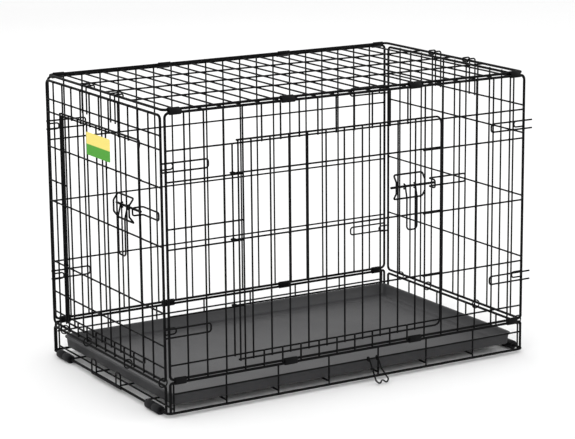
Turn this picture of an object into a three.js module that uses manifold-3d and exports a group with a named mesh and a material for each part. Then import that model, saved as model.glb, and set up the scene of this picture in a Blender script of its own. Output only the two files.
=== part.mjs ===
// A folding wire dog crate: floor, five wire panels, two doors with slide bolts, pan, hooks and clips.
// Millimetres, +Z up. Origin on the floor under the middle; the side door faces -Y, the end door -X.
import * as THREE from 'three';
import { mergeVertices } from 'three/addons/utils/BufferGeometryUtils.js';
import Module from 'manifold-3d';

const wasm = await Module();
wasm.setup();

// ---- driving sizes ------------------------------------------------------------------------------
const LENGTH = 755;              // between the end posts of a long side
const WIDTH = 474;               // between the two long sides
const TOP_Z = 543.8;             // height of the top panel's rim
const RAIL = 4.8;                // rail and post wire
const WIRE = 3.2;                // fill wire
const DOOR_RAIL = 3.6;           // rim wire of a door
const SPRING = 3;                // hooks, pan stop and retainer
const RING = 2.5;                // hinge rings
const SINK = 0.25;               // how far crossing wires melt into each other
const GAP = 0.3;                 // between pieces that touch
const BEND = 8;                  // rim corner radius
const PITCH = 38.1;              // upright spacing of the long sides and the top
const END_PITCH = 38.57;         // upright spacing of the ends
const POST_SPACE = 33;           // least space from the last upright to the post, for a hinge clip
const WIRE_SIDES = 4;            // facets of a fill wire, with a ridge where wires cross
const RAIL_SIDES = 8;
const BEND_STEPS = 2;

const RAIL_R = RAIL / 2;
const WIRE_R = WIRE / 2;
const OUTER = RAIL_R + WIRE_R - SINK;              // uprights lie outside the rim
const INNER = OUTER - WIRE + SINK;                 // crosses lie behind the uprights
const OVER = OUTER + WIRE - SINK;                  // wires welded on the outside of the uprights

// ---- floor and its flanges
const FOOT_R = 8.2;              // roller foot, which lifts the floor rail by its own radius
const FOOT_LENGTH = 50;
const FOOT_Y = 185;
const LONG_FLANGE_Z = 63.2;
const END_FLANGE_Z = 57.3;
const MID_FLANGE_Z = 43.7;
const FLOOR_LONG_Y = [50.5, 151.6];
const FLOOR_CROSS_X = [53.2, 159.6, 266, 371];
const END_OUT = RAIL + 0.5;      // the ends stand this far outside the posts of the sides

// ---- panels
const SIDE_RAIL_STEP = 6;        // side rail above its flange rail
const END_RAIL_STEP = 8.3;       // end rail above its flange rail
const TOP_STEP_IN = 6;           // top rim inside the side rail
const TOP_STEP_UP = 4.8;         // and above it
const END_SIDE_SPACE = 6.6;      // end posts inside the sides, clear of their hinge clips
const END_TOP_SPACE = 8.6;       // end rail below the top rim
const CROSS_PITCH = 118.3;
const CROSS_DROP = 2.8;          // middle cross below mid height

// ---- doors and latches
const DOOR_LIFT = 4;             // door crosses above the panel crosses
const HINGE_OUT = 21.2;          // hinge wire from the door opening
const LOOP_PLAY = 0.4;           // door loops around the hinge wire
const BOLT = 4.6;
const CAGE = 3.5;
const EYE_PLAY = 0.4;

// ---- pan
const PAN_HALF_LENGTH = 369;
const PAN_SIDE_SPACE = 11;       // pan wall inside the long flanges
const PAN_WALL = 3;
const PAN_FLOOR = 2;
const PAN_RIM_Z = 40;

// ---- places that follow from them
const HALF_LENGTH = LENGTH / 2;
const SIDE_Y = WIDTH / 2;
const END_X = HALF_LENGTH + END_OUT;
const END_POST_Y = SIDE_Y - END_SIDE_SPACE;
const SIDE_BOTTOM = LONG_FLANGE_Z + SIDE_RAIL_STEP;
const SIDE_TOP = TOP_Z - TOP_STEP_UP;
const SIDE_MID = (SIDE_BOTTOM + SIDE_TOP) / 2 - CROSS_DROP;
const END_BOTTOM = END_FLANGE_Z + END_RAIL_STEP;
const END_TOP = TOP_Z - END_TOP_SPACE;
const END_MID = (END_BOTTOM + END_TOP) / 2;
const LAST = Math.floor((HALF_LENGTH - POST_SPACE) / PITCH);      // uprights run from -LAST to LAST
const END_LAST = Math.floor((END_POST_Y - POST_SPACE) / END_PITCH);

// ---- materials ----------------------------------------------------------------------------------
const paint = (color, roughness, metalness) => () =>
  new THREE.MeshStandardMaterial({ color, roughness, metalness });
const blackWire = paint(0x1b1b1d, 0.42, 0.3);
const blackSpring = paint(0x202023, 0.36, 0.4);
const panPlastic = paint(0x18181a, 0.6, 0);
const footRubber = paint(0x202022, 0.8, 0);
const card = paint(0x7fb24a, 0.6, 0);

// ---- wire and solid helpers ---------------------------------------------------------------------
const v = (x, y, z) => new THREE.Vector3(x, y, z);

// A bent wire's centre line: straight runs between its points, turned about one plane normal.
class WireLine extends THREE.Curve {
  constructor(points, planeNormal, closed = false) {
    super();
    this.points = points;
    this.planeNormal = planeNormal;
    this.closed = closed;
  }
  get spans() { return this.closed ? this.points.length : this.points.length - 1; }
  at(i) {
    const n = this.points.length;
    return this.closed ? this.points[(i + n) % n] : this.points[Math.min(Math.max(i, 0), n - 1)];
  }
  getPointAt(u, target = new THREE.Vector3()) { return target.copy(this.at(Math.round(u * this.spans))); }
  getPoint(u, target) { return this.getPointAt(u, target); }
  getSpacedPoints() { return this.points.map((p) => p.clone()); }
  tangent(i) {
    const into = this.at(i).clone().sub(this.at(i - 1)).normalize();
    const out = this.at(i + 1).clone().sub(this.at(i)).normalize();
    return into.add(out).normalize();
  }
  computeFrenetFrames() {
    const tangents = [];
    const normals = [];
    const binormals = [];
    for (let i = 0; i <= this.spans; i++) {
      const t = this.tangent(i);
      const n = new THREE.Vector3().crossVectors(this.planeNormal, t).normalize();
      tangents.push(t);
      normals.push(n);
      binormals.push(new THREE.Vector3().crossVectors(t, n));
    }
    return { tangents, normals, binormals };
  }
}

// The points of a path with its corners rounded to a radius.
function rounded(points, radius, steps = BEND_STEPS, closed = false) {
  const n = points.length;
  const out = [];
  points.forEach((p, i) => {
    if (!closed && (i === 0 || i === n - 1)) {
      out.push(p);
      return;
    }
    const a = points[(i + n - 1) % n].clone().sub(p).normalize();
    const b = points[(i + 1) % n].clone().sub(p).normalize();
    const half = a.angleTo(b) / 2;
    const centre = p.clone().add(a.clone().add(b).setLength(radius / Math.sin(half)));
    const from = p.clone().addScaledVector(a, radius / Math.tan(half)).sub(centre);
    const axis = new THREE.Vector3().crossVectors(b, a).normalize();
    const turn = Math.PI - 2 * half;
    for (let k = 0; k <= steps; k++) {
      out.push(from.clone().applyAxisAngle(axis, turn * k / steps).add(centre));
    }
  });
  return out;
}

function section(radius, sides) {
  const ring = [];
  for (let i = 0; i < sides; i++) {
    const a = 2 * Math.PI * i / sides;
    ring.push(new THREE.Vector2(radius * Math.cos(a), radius * Math.sin(a)));
  }
  return new THREE.Shape(ring);
}

function solid(geometry) {
  geometry.deleteAttribute('normal');
  geometry.deleteAttribute('uv');
  const merged = mergeVertices(geometry, 1e-4);
  return new wasm.Manifold(new wasm.Mesh({
    numProp: 3,
    vertProperties: new Float32Array(merged.attributes.position.array),
    triVerts: new Uint32Array(merged.index.array),
  }));
}

// A bent wire, and a closed loop of wire.
function wire(points, planeNormal, diameter, sides = WIRE_SIDES) {
  const extrudePath = new WireLine(points, planeNormal);
  return solid(new THREE.ExtrudeGeometry(section(diameter / 2, sides), {
    steps: extrudePath.spans, bevelEnabled: false, extrudePath,
  }));
}
function loop(points, planeNormal, diameter, sides = RAIL_SIDES) {
  const line = new WireLine(points, planeNormal, true);
  return solid(new THREE.TubeGeometry(line, line.spans, diameter / 2, sides, true));
}
// A straight wire with one edge facing the given way.
function bar(a, b, facing, diameter = WIRE, sides = WIRE_SIDES) {
  const planeNormal = new THREE.Vector3().crossVectors(facing, b.clone().sub(a)).normalize();
  return wire([a, b], planeNormal, diameter, sides);
}
const weld = (solids) => solids.reduce((sum, s) => sum.add(s));

const crate = new THREE.Group();
crate.name = 'wire_crate';

function piece(name, body, material) {
  const mesh = body.getMesh();
  const geometry = new THREE.BufferGeometry();
  geometry.setAttribute('position', new THREE.BufferAttribute(new Float32Array(mesh.vertProperties), 3));
  geometry.setIndex(new THREE.BufferAttribute(new Uint32Array(mesh.triVerts), 1));
  geometry.computeVertexNormals();
  const part = new THREE.Mesh(geometry, material());
  part.name = name;
  crate.add(part);
}

// A panel's own frame: u across it, n outward, w up.
function panelFrame(u, n, w, origin) {
  const place = (a, b, c) => origin.clone().addScaledVector(u, a).addScaledVector(n, b).addScaledVector(w, c);
  return { place, u, n, w };
}
const X = v(1, 0, 0);
const Y = v(0, 1, 0);
const Z = v(0, 0, 1);
const front = panelFrame(X, v(0, -1, 0), Z, v(0, -SIDE_Y, 0));
const back = panelFrame(X, Y, Z, v(0, SIDE_Y, 0));
const left = panelFrame(Y, v(-1, 0, 0), Z, v(-END_X, 0, 0));
const right = panelFrame(Y, X, Z, v(END_X, 0, 0));

const upright = (f, u, lo, hi, n = OUTER, d = WIRE) => bar(f.place(u, n, lo), f.place(u, n, hi), f.n, d);
const cross = (f, w, lo, hi, n = INNER, d = WIRE) => bar(f.place(lo, n, w), f.place(hi, n, w), f.n, d);
function rim(f, half, bottom, top) {
  const corners = [[-half, bottom], [half, bottom], [half, top], [-half, top]];
  return loop(rounded(corners.map(([u, w]) => f.place(u, 0, w)), BEND, BEND_STEPS, true), f.n, RAIL);
}
const range = (lo, hi) => Array.from({ length: hi - lo + 1 }, (_, i) => lo + i);
// An open loop around a hinge wire, in ten steps of 33 degrees.
const loopAngles = range(0, 10).map((i) => i * 33 * Math.PI / 180);

// ---- floor frame --------------------------------------------------------------------------------
const FLOOR_LONG_Z = FOOT_R + OUTER;                    // floor wires on the end rails
const FLOOR_CROSS_Z = FLOOR_LONG_Z + WIRE - SINK;       // cross wires on the floor wires
const END_UPRIGHT_Y = SIDE_Y - 7;         // legs of the end flange, inside the corner bends
const FLANGE_BEND = 5;

function floorFrame() {
  const corners = [v(-END_X, -SIDE_Y, FOOT_R), v(END_X, -SIDE_Y, FOOT_R),
    v(END_X, SIDE_Y, FOOT_R), v(-END_X, SIDE_Y, FOOT_R)];
  const parts = [loop(rounded(corners, BEND, BEND_STEPS, true), Z, RAIL)];
  for (const s of [-1, 1]) {
    const y = s * SIDE_Y;
    const flange = [v(-HALF_LENGTH, y, FOOT_R), v(-HALF_LENGTH, y, LONG_FLANGE_Z),
      v(HALF_LENGTH, y, LONG_FLANGE_Z), v(HALF_LENGTH, y, FOOT_R)];
    parts.push(wire(rounded(flange, FLANGE_BEND), Y, RAIL, RAIL_SIDES));
    const n = y + s * (WIRE - SINK);
    const reach = FLOOR_CROSS_X.at(-1) + WIRE_R;
    parts.push(bar(v(-reach, n, MID_FLANGE_Z), v(reach, n, MID_FLANGE_Z), Y));
    const x = s * END_X;
    const end = [v(x, -END_UPRIGHT_Y, FOOT_R), v(x, -END_UPRIGHT_Y, END_FLANGE_Z),
      v(x, END_UPRIGHT_Y, END_FLANGE_Z), v(x, END_UPRIGHT_Y, FOOT_R)];
    parts.push(wire(rounded(end, FLANGE_BEND), X, RAIL, RAIL_SIDES));
    for (const fy of FLOOR_LONG_Y) {
      parts.push(bar(v(-END_X, s * fy, FLOOR_LONG_Z), v(END_X, s * fy, FLOOR_LONG_Z), Z));
      parts.push(bar(v(END_X, s * fy, FOOT_R), v(END_X, s * fy, END_FLANGE_Z), X));
    }
    for (const fx of FLOOR_CROSS_X) {
      parts.push(bar(v(s * fx, -SIDE_Y, FLOOR_CROSS_Z), v(s * fx, SIDE_Y, FLOOR_CROSS_Z), Z));
      parts.push(bar(v(s * fx, -SIDE_Y, FOOT_R), v(s * fx, -SIDE_Y, LONG_FLANGE_Z), Y));
      parts.push(bar(v(s * fx, SIDE_Y, FOOT_R), v(s * fx, SIDE_Y, LONG_FLANGE_Z), Y));
    }
  }
  piece('floor_frame', weld(parts), blackWire);
}

function feet() {
  for (const [end, sx] of [['left', -1], ['right', 1]]) {
    for (const [side, sy] of [['front', -1], ['back', 1]]) {
      const ring = section(FOOT_R, 16);
      ring.holes.push(section(RAIL_R + GAP, 12));
      const tube = new THREE.ExtrudeGeometry(ring, { depth: FOOT_LENGTH, bevelEnabled: false });
      tube.rotateX(-Math.PI / 2);
      tube.translate(sx * END_X, sy * FOOT_Y - FOOT_LENGTH / 2, FOOT_R);
      piece(`foot_${end}_${side}`, solid(tube), footRubber);
    }
  }
}

// ---- pan and its sprung stop --------------------------------------------------------------------
const PAN_Z = FLOOR_CROSS_Z + WIRE_R + GAP;
const PAN_HALF_WIDTH = SIDE_Y - PAN_SIDE_SPACE;
const PAN_CORNER = 10;

function tray(halfLength, halfWidth, corner, bottom, top) {
  const corners = [v(-halfLength, -halfWidth, 0), v(halfLength, -halfWidth, 0),
    v(halfLength, halfWidth, 0), v(-halfLength, halfWidth, 0)];
  const outline = rounded(corners, corner, 3, true).map((p) => new THREE.Vector2(p.x, p.y));
  const block = new THREE.ExtrudeGeometry(new THREE.Shape(outline), {
    depth: top - bottom, bevelEnabled: false,
  });
  block.translate(0, 0, bottom);
  return solid(block);
}
function pan() {
  const outer = tray(PAN_HALF_LENGTH, PAN_HALF_WIDTH, PAN_CORNER, PAN_Z, PAN_RIM_Z);
  const inner = tray(PAN_HALF_LENGTH - PAN_WALL, PAN_HALF_WIDTH - PAN_WALL, PAN_CORNER - PAN_WALL,
    PAN_Z + PAN_FLOOR, PAN_RIM_Z + 1);
  piece('pan', outer.subtract(inner), panPlastic);
}

const STOP_HALF_WIDTH = 9.5;
const STOP_TOP = 37;
function panStop() {
  const x = -END_X - RAIL_R - GAP - SPRING / 2;
  const reach = FLOOR_LONG_Y[0] + STOP_HALF_WIDTH;
  const parts = [bar(v(x, -reach, FOOT_R), v(x, reach, FOOT_R), X, SPRING)];
  for (const s of [-1, 1]) {
    const y = s * FLOOR_LONG_Y[0];
    const hairpin = [v(x, y - STOP_HALF_WIDTH, FOOT_R), v(x, y - STOP_HALF_WIDTH, STOP_TOP),
      v(x, y + STOP_HALF_WIDTH, STOP_TOP), v(x, y + STOP_HALF_WIDTH, FOOT_R)];
    parts.push(wire(rounded(hairpin, 6), X, SPRING));
  }
  piece('pan_stop', weld(parts), blackSpring);
}

// ---- long sides ---------------------------------------------------------------------------------
const LOOP_STEP = 15.5;          // between the two wires of a corner loop
const LOOP_DROP = 84.7;          // upper corner loop below the side rail
const LOOP_LIFT = 93.6;          // lower corner loop above the side rail
const LOOP_START = LENGTH / 2 - 79;
const LOOP_STUB = 14.1;          // how far the front loops pass the posts
const DOOR_FIRST = -6;           // the side door opening runs between these uprights
const DOOR_LAST = 4;
const OPEN_SILL = 26;            // sill wire above the side rail
const OPEN_HEAD = 64.8;          // head wire below the top side rail
const DOOR_LEFT = DOOR_FIRST * PITCH;
const DOOR_RIGHT = DOOR_LAST * PITCH;
const SILL_Z = SIDE_BOTTOM + OPEN_SILL;
const HEAD_Z = SIDE_TOP - OPEN_HEAD;
const SHORT_CROSS = 35.9;        // short cross above the middle one
const sideCrosses = [-1, 0, 1].map((k) => SIDE_MID + k * CROSS_PITCH);
const TRIM = RAIL_R - 0.2;       // upright ends stay inside the rail's own thickness

// A long U of wire on the outside of the last uprights.
function cornerLoop(f, s, w, reach) {
  const points = [f.place(s * reach, OVER, w), f.place(s * LOOP_START, OVER, w),
    f.place(s * LOOP_START, OVER, w - LOOP_STEP), f.place(s * reach, OVER, w - LOOP_STEP)];
  return wire(rounded(points, 5), f.n, WIRE);
}
function cornerLoops(f, reach) {
  return [-1, 1].flatMap((s) => [
    cornerLoop(f, s, SIDE_TOP - LOOP_DROP, reach),
    cornerLoop(f, s, SIDE_BOTTOM + LOOP_LIFT, reach),
  ]);
}

function backSide() {
  const parts = [rim(back, HALF_LENGTH, SIDE_BOTTOM, SIDE_TOP)];
  for (const k of range(-LAST, LAST)) {
    parts.push(upright(back, k * PITCH, SIDE_BOTTOM - TRIM, SIDE_TOP + TRIM));
  }
  for (const w of sideCrosses) parts.push(cross(back, w, -HALF_LENGTH, HALF_LENGTH));
  parts.push(...cornerLoops(back, HALF_LENGTH + RAIL_R));
  piece('back_side', weld(parts), blackWire);
}

const SIDE_HINGE_U = DOOR_LEFT - HINGE_OUT;
function frontSide() {
  const parts = [rim(front, HALF_LENGTH, SIDE_BOTTOM, SIDE_TOP)];
  for (const k of range(-LAST, LAST)) {
    const open = k > DOOR_FIRST && k < DOOR_LAST;
    if (open) {
      parts.push(upright(front, k * PITCH, SIDE_BOTTOM - TRIM, SILL_Z + WIRE_R));
      parts.push(upright(front, k * PITCH, HEAD_Z - WIRE_R, SIDE_TOP + TRIM));
    } else {
      parts.push(upright(front, k * PITCH, SIDE_BOTTOM - TRIM, SIDE_TOP + TRIM));
    }
  }
  for (const w of [SILL_Z, HEAD_Z]) parts.push(cross(front, w, -HALF_LENGTH, HALF_LENGTH));
  for (const w of sideCrosses) {
    parts.push(cross(front, w, -HALF_LENGTH, DOOR_LEFT + WIRE_R));
    parts.push(cross(front, w, DOOR_RIGHT - WIRE_R, HALF_LENGTH));
  }
  parts.push(cross(front, SIDE_MID + SHORT_CROSS, -HALF_LENGTH, DOOR_LEFT + WIRE_R));
  parts.push(upright(front, SIDE_HINGE_U, SILL_Z - WIRE_R, HEAD_Z + WIRE_R));
  parts.push(...cornerLoops(front, HALF_LENGTH + LOOP_STUB));
  piece('front_side', weld(parts), blackWire);
}

// ---- top panel ----------------------------------------------------------------------------------
const TOP_Y = SIDE_Y - TOP_STEP_IN;
const TOP_LONG_Y = [-105, 0, 105];
function topPanel() {
  const corners = [v(-HALF_LENGTH, -TOP_Y, TOP_Z), v(HALF_LENGTH, -TOP_Y, TOP_Z),
    v(HALF_LENGTH, TOP_Y, TOP_Z), v(-HALF_LENGTH, TOP_Y, TOP_Z)];
  const parts = [loop(rounded(corners, BEND, BEND_STEPS, true), Z, RAIL)];
  for (const k of range(-LAST, LAST)) {
    parts.push(bar(v(k * PITCH, -TOP_Y - TRIM, TOP_Z - OUTER), v(k * PITCH, TOP_Y + TRIM, TOP_Z - OUTER), Z));
  }
  for (const y of TOP_LONG_Y) {
    parts.push(bar(v(-HALF_LENGTH, y, TOP_Z - INNER), v(HALF_LENGTH, y, TOP_Z - INNER), Z));
  }
  piece('top_panel', weld(parts), blackWire);
}

// ---- end panels ---------------------------------------------------------------------------------
const END_DOOR_K = 4;            // the end door opening runs between these uprights
const END_DOOR_U = END_DOOR_K * END_PITCH;
const END_SILL_Z = END_BOTTOM + 24.4;
const END_HEAD_Z = END_TOP - 59.2;
const HOOK_CROSS_Z = END_TOP - 34.7;          // the left top hooks hang on this cross
const RIGHT_HOOK_Z = END_TOP - 55.2;          // and the right ones on this
const LOOP_R = WIRE_R + LOOP_PLAY + WIRE_R;             // door loop centre line around its hinge wire
const END_HINGE_PLAY = 0.4;      // between the opening upright and the door loops
const END_HINGE_U = END_DOOR_U + LOOP_R + WIRE + END_HINGE_PLAY;
const endDoorCrosses = [END_MID + 109.6, END_MID + 5.6, END_BOTTOM + 122.9, END_BOTTOM + 63.7];
const rightCrosses = [RIGHT_HOOK_Z, END_TOP - 107.6, END_MID + 6.6, END_BOTTOM + 122.9];

function leftEnd() {
  const parts = [rim(left, END_POST_Y, END_BOTTOM, END_TOP)];
  for (const k of range(-END_LAST, END_LAST)) {
    if (Math.abs(k) < END_DOOR_K) {
      parts.push(upright(left, k * END_PITCH, END_BOTTOM - TRIM, END_SILL_Z + WIRE_R));
      parts.push(upright(left, k * END_PITCH, END_HEAD_Z - WIRE_R, END_TOP + TRIM));
    } else {
      parts.push(upright(left, k * END_PITCH, END_BOTTOM - TRIM, END_TOP + TRIM));
    }
  }
  for (const w of [END_SILL_Z, END_HEAD_Z, HOOK_CROSS_Z]) {
    parts.push(cross(left, w, -END_POST_Y, END_POST_Y));
  }
  for (const w of endDoorCrosses) {
    parts.push(cross(left, w, -END_POST_Y, -END_DOOR_U + WIRE_R));
    parts.push(cross(left, w, END_DOOR_U - WIRE_R, END_POST_Y));
  }
  parts.push(cross(left, END_MID + 45.6, END_DOOR_U - WIRE_R, END_POST_Y));
  parts.push(upright(left, END_HINGE_U, END_SILL_Z - WIRE_R, END_HEAD_Z + WIRE_R));
  piece('left_end', weld(parts), blackWire);
}

function rightEnd() {
  const parts = [rim(right, END_POST_Y, END_BOTTOM, END_TOP)];
  for (const k of range(-END_LAST, END_LAST)) {
    parts.push(upright(right, k * END_PITCH, END_BOTTOM - TRIM, END_TOP + TRIM));
  }
  for (const w of rightCrosses) parts.push(cross(right, w, -END_POST_Y, END_POST_Y));
  piece('right_end', weld(parts), blackWire);
}

// ---- doors --------------------------------------------------------------------------------------
// Door crosses end in loops around the hinge wire; the uprights and the posts lie outside them.
const DOOR_N = OUTER + LOOP_R;                          // door crosses
const DOOR_UP_N = DOOR_N + WIRE - SINK;                 // door uprights
const DOOR_RAIL_N = OUTER + WIRE_R + GAP + 0.05 + DOOR_RAIL / 2;
const DOOR_POST_N = DOOR_RAIL_N + DOOR_RAIL - SINK;
const DOOR_FACE = DOOR_UP_N + WIRE_R;                   // outside face of the door uprights

// A door cross with its loop around the hinge wire at hingeU; dir is the way to the free edge.
function doorCross(f, w, hingeU, freeU) {
  const dir = Math.sign(freeU - hingeU);
  const points = loopAngles.map((a) =>
    f.place(hingeU - dir * LOOP_R * Math.sin(a), OUTER + LOOP_R * Math.cos(a), w));
  return wire([f.place(freeU, DOOR_N, w), ...points], f.w, WIRE);
}

function door(name, f, spec) {
  const r = DOOR_RAIL / 2;
  const lo = spec.bottom + r;
  const hi = spec.top - r;
  const dir = Math.sign(spec.free - spec.hingeEdge);
  const parts = [];
  for (const w of [lo, hi]) {
    parts.push(cross(f, w, spec.hingeEdge, spec.free, DOOR_RAIL_N, DOOR_RAIL));
  }
  for (const u of [spec.hingeEdge + dir * r, spec.free - dir * r]) {
    parts.push(upright(f, u, spec.bottom, spec.top, DOOR_POST_N, DOOR_RAIL));
  }
  for (const u of spec.uprights) parts.push(upright(f, u, spec.bottom + 0.4, spec.top - 0.4, DOOR_UP_N));
  for (const w of spec.crosses) parts.push(doorCross(f, w, spec.hingeU, spec.free - dir * r));
  piece(name, weld(parts), blackWire);
}

const DOOR_EDGE_PLAY = 5.9;      // side door edge from its hinge wire
const END_EDGE_PLAY = 7.9;       // and the end door's
const SIDE_DOOR = {
  hingeU: SIDE_HINGE_U,
  hingeEdge: SIDE_HINGE_U + DOOR_EDGE_PLAY,
  free: DOOR_RIGHT + 32.2,
  bottom: SILL_Z - 9.2,
  top: HEAD_Z + 8.8,
  uprights: range(DOOR_FIRST, DOOR_LAST - 1).map((k) => (k + 1 / 3) * PITCH),
  crosses: sideCrosses.map((w) => w + DOOR_LIFT),
};
const END_DOOR = {
  hingeU: END_HINGE_U,
  hingeEdge: END_HINGE_U - END_EDGE_PLAY,
  free: -END_DOOR_U - 16.7,
  bottom: END_SILL_Z - 8,
  top: END_HEAD_Z + 9,
  uprights: range(1 - END_DOOR_K, END_DOOR_K - 1).map((k) => k * END_PITCH),
  crosses: endDoorCrosses.map((w) => w + DOOR_LIFT),
};

// ---- slide bolts --------------------------------------------------------------------------------
const CAGE_N = DOOR_FACE + GAP + CAGE / 2;
const BOLT_PLAY = 0.2;           // bolt over the post of the door's free edge
const BOLT_N = DOOR_POST_N + DOOR_RAIL / 2 + BOLT_PLAY + BOLT / 2;
const CAGE_BOW_N = BOLT_N + BOLT / 2 + 3.9 + CAGE / 2;   // the cage sides pass over the bolt and handle eyes
const EYE_R = BOLT / 2 + EYE_PLAY + WIRE_R;
const KEEPER_N = OUTER + WIRE_R + GAP + WIRE_R;
const STAPLE_N = BOLT_N + 12.4;

// Two end bars on the door uprights, and two sides that bow out over the bolt.
function cage(name, f, L) {
  const shoulder = (L.cageTop - L.cageBottom) * 0.27;
  const parts = [];
  for (const w of [L.cageBottom, L.cageTop]) {
    parts.push(cross(f, w, L.cageA, L.cageB, CAGE_N, CAGE));
  }
  for (const u of [L.cageA, L.cageB]) {
    const points = [f.place(u, CAGE_N, L.cageBottom), f.place(u, CAGE_BOW_N, L.cageBottom + shoulder),
      f.place(u, CAGE_BOW_N, L.cageTop - shoulder), f.place(u, CAGE_N, L.cageTop)];
    parts.push(wire(rounded(points, 3), f.u, CAGE));
  }
  piece(name, weld(parts), blackWire);
}
function bolt(name, f, L) {
  const ends = [L.boltTail, L.boltTip].map((u) => f.place(u, BOLT_N, L.boltZ));
  piece(name, bar(ends[0], ends[1], f.n, BOLT, RAIL_SIDES), blackSpring);
}
// A U of wire that hangs from the bolt by two open eyes.
function handle(name, f, L) {
  const parts = [];
  const open = 100 * Math.PI / 180;       // each way from straight out
  const steps = 8;
  for (const u of [L.eyeA, L.eyeB]) {
    const eye = [];
    for (let i = 0; i <= steps; i++) {
      const a = -open + 2 * open * i / steps;
      eye.push(f.place(u, BOLT_N + EYE_R * Math.cos(a), L.boltZ + EYE_R * Math.sin(a)));
    }
    parts.push(wire(eye, f.u, WIRE));
    const leg = [f.place(u, BOLT_N + EYE_R, L.boltZ), f.place(u, L.gripN, L.boltZ - 20),
      f.place(u, L.gripN, L.gripZ)];
    parts.push(wire(rounded(leg, 6), f.u, WIRE));
  }
  parts.push(cross(f, L.gripZ, L.eyeA, L.eyeB, L.gripN, WIRE));
  piece(name, weld(parts), blackWire);
}
// Two wires on the panel uprights, turned out at the bolt and closed as its staple.
function keeper(name, f, L) {
  const parts = [];
  const dir = Math.sign(L.keeperEnd - L.stapleU);
  for (const w of [L.boltZ - L.stapleHalf, L.boltZ + L.stapleHalf]) {
    const points = [f.place(L.keeperEnd, KEEPER_N, w), f.place(L.stapleU, KEEPER_N, w),
      f.place(L.stapleU, STAPLE_N, w)];
    parts.push(wire(rounded(points, 4), f.w, WIRE));
  }
  for (const [u, n] of [[L.stapleU, STAPLE_N], [L.keeperEnd - dir * WIRE_R, KEEPER_N]]) {
    const ends = [-1, 1].map((s) => f.place(u, n, L.boltZ + s * (L.stapleHalf + WIRE_R)));
    parts.push(bar(ends[0], ends[1], f.n));
  }
  piece(name, weld(parts), blackWire);
}
const GRIP_N = STAPLE_N - 3;
const SIDE_LATCH = {
  cageA: DOOR_RIGHT - 75.4, cageB: DOOR_RIGHT - 13.4,
  cageBottom: SIDE_MID + 37.7, cageTop: SIDE_MID + 82.7,
  boltZ: SIDE_MID + 59.9, boltTail: DOOR_RIGHT - 82, boltTip: DOOR_RIGHT + 13.6,
  eyeA: DOOR_RIGHT - 53.4, eyeB: DOOR_RIGHT - 31.4,
  gripN: GRIP_N, gripZ: SIDE_MID - 19.3,
  stapleU: DOOR_RIGHT + 6, stapleHalf: 7.4, keeperEnd: DOOR_RIGHT + 2 * PITCH + 11,
};
const END_LATCH = {
  cageA: -END_DOOR_U + 64.1, cageB: -END_DOOR_U + 3.1,
  cageBottom: END_MID + 34.6, cageTop: END_MID + 78.6,
  boltZ: END_MID + 60.6, boltTail: -END_DOOR_U + 68.1, boltTip: -END_DOOR_U - 26.9,
  eyeA: -END_DOOR_U + 44.1, eyeB: -END_DOOR_U + 17.8,
  gripN: GRIP_N, gripZ: END_MID - 26.4,
  stapleU: -END_DOOR_U - 18.8, stapleHalf: 7, keeperEnd: -END_POST_Y - 2,
};
function latch(name, f, L) {
  cage(`${name}_bolt_cage`, f, L);
  bolt(`${name}_bolt`, f, L);
  handle(`${name}_bolt_handle`, f, L);
  keeper(`${name}_keeper`, f, L);
}

const CARD_THICK = 1.4;
const CARD_WIDTH = 95;
const CARD_HEIGHT = 41.6;
const CARD_U = -13.5;             // card centre across the end
const CARD_DROP = 87.4;          // and below its top rail
function labelCard() {
  const at = left.place(CARD_U, DOOR_FACE + GAP + CARD_THICK / 2, END_TOP - CARD_DROP);
  const box = new THREE.BoxGeometry(CARD_THICK, CARD_WIDTH, CARD_HEIGHT);
  box.translate(at.x, at.y, at.z);
  piece('label_card', solid(box), card);
}

// ---- hinges, hooks and the retainer -------------------------------------------------------------
const CLIP_WALL = 1;
const CLIP_PLAY = 0.4;
const SLEEVE_STEPS = 4;

// A sheet sleeve around two parallel wires, a and b in the YZ plane.
function sleeve(name, x, length, a, b) {
  const along = b.clone().sub(a);
  const turn = Math.atan2(along.y, along.x);
  const half = along.length() / 2;
  const stadium = (radius) => {
    const points = [];
    for (const s of [0, 1]) {
      for (let i = 0; i <= SLEEVE_STEPS; i++) {
        const t = -Math.PI / 2 + Math.PI * i / SLEEVE_STEPS + s * Math.PI;
        points.push(new THREE.Vector2((s ? -half : half) + radius * Math.cos(t), radius * Math.sin(t)));
      }
    }
    return new THREE.Shape(points);
  };
  const outline = stadium(RAIL_R + CLIP_PLAY + CLIP_WALL);
  outline.holes.push(stadium(RAIL_R + CLIP_PLAY));
  const g = new THREE.ExtrudeGeometry(outline, { depth: length, bevelEnabled: false });
  g.rotateZ(turn);
  g.applyMatrix4(new THREE.Matrix4().makeBasis(Y, Z, X));
  g.translate(x - length / 2, (a.x + b.x) / 2, (a.y + b.y) / 2);
  piece(name, solid(g), blackSpring);
}
const CLIP_OUT = HALF_LENGTH - 20;       // outer clips, between the last upright and the bend
const CLIP_IN = 3.5 * PITCH + 0.65;      // inner clips, between two uprights
const CLIP_PLACES = [[-CLIP_OUT, 22], [-CLIP_IN, 26], [CLIP_IN, 26], [CLIP_OUT, 22]];
function hingeClips() {
  for (const [side, s] of [['front', -1], ['back', 1]]) {
    CLIP_PLACES.forEach(([x, length], i) => {
      const flange = new THREE.Vector2(s * SIDE_Y, LONG_FLANGE_Z);
      const rail = new THREE.Vector2(s * SIDE_Y, SIDE_BOTTOM);
      sleeve(`bottom_clip_${side}_${i + 1}`, x, length, flange, rail);
      const sideTop = new THREE.Vector2(s * SIDE_Y, SIDE_TOP);
      const topRim = new THREE.Vector2(s * TOP_Y, TOP_Z);
      sleeve(`top_clip_${side}_${i + 1}`, x, length, sideTop, topRim);
    });
  }
}

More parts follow.
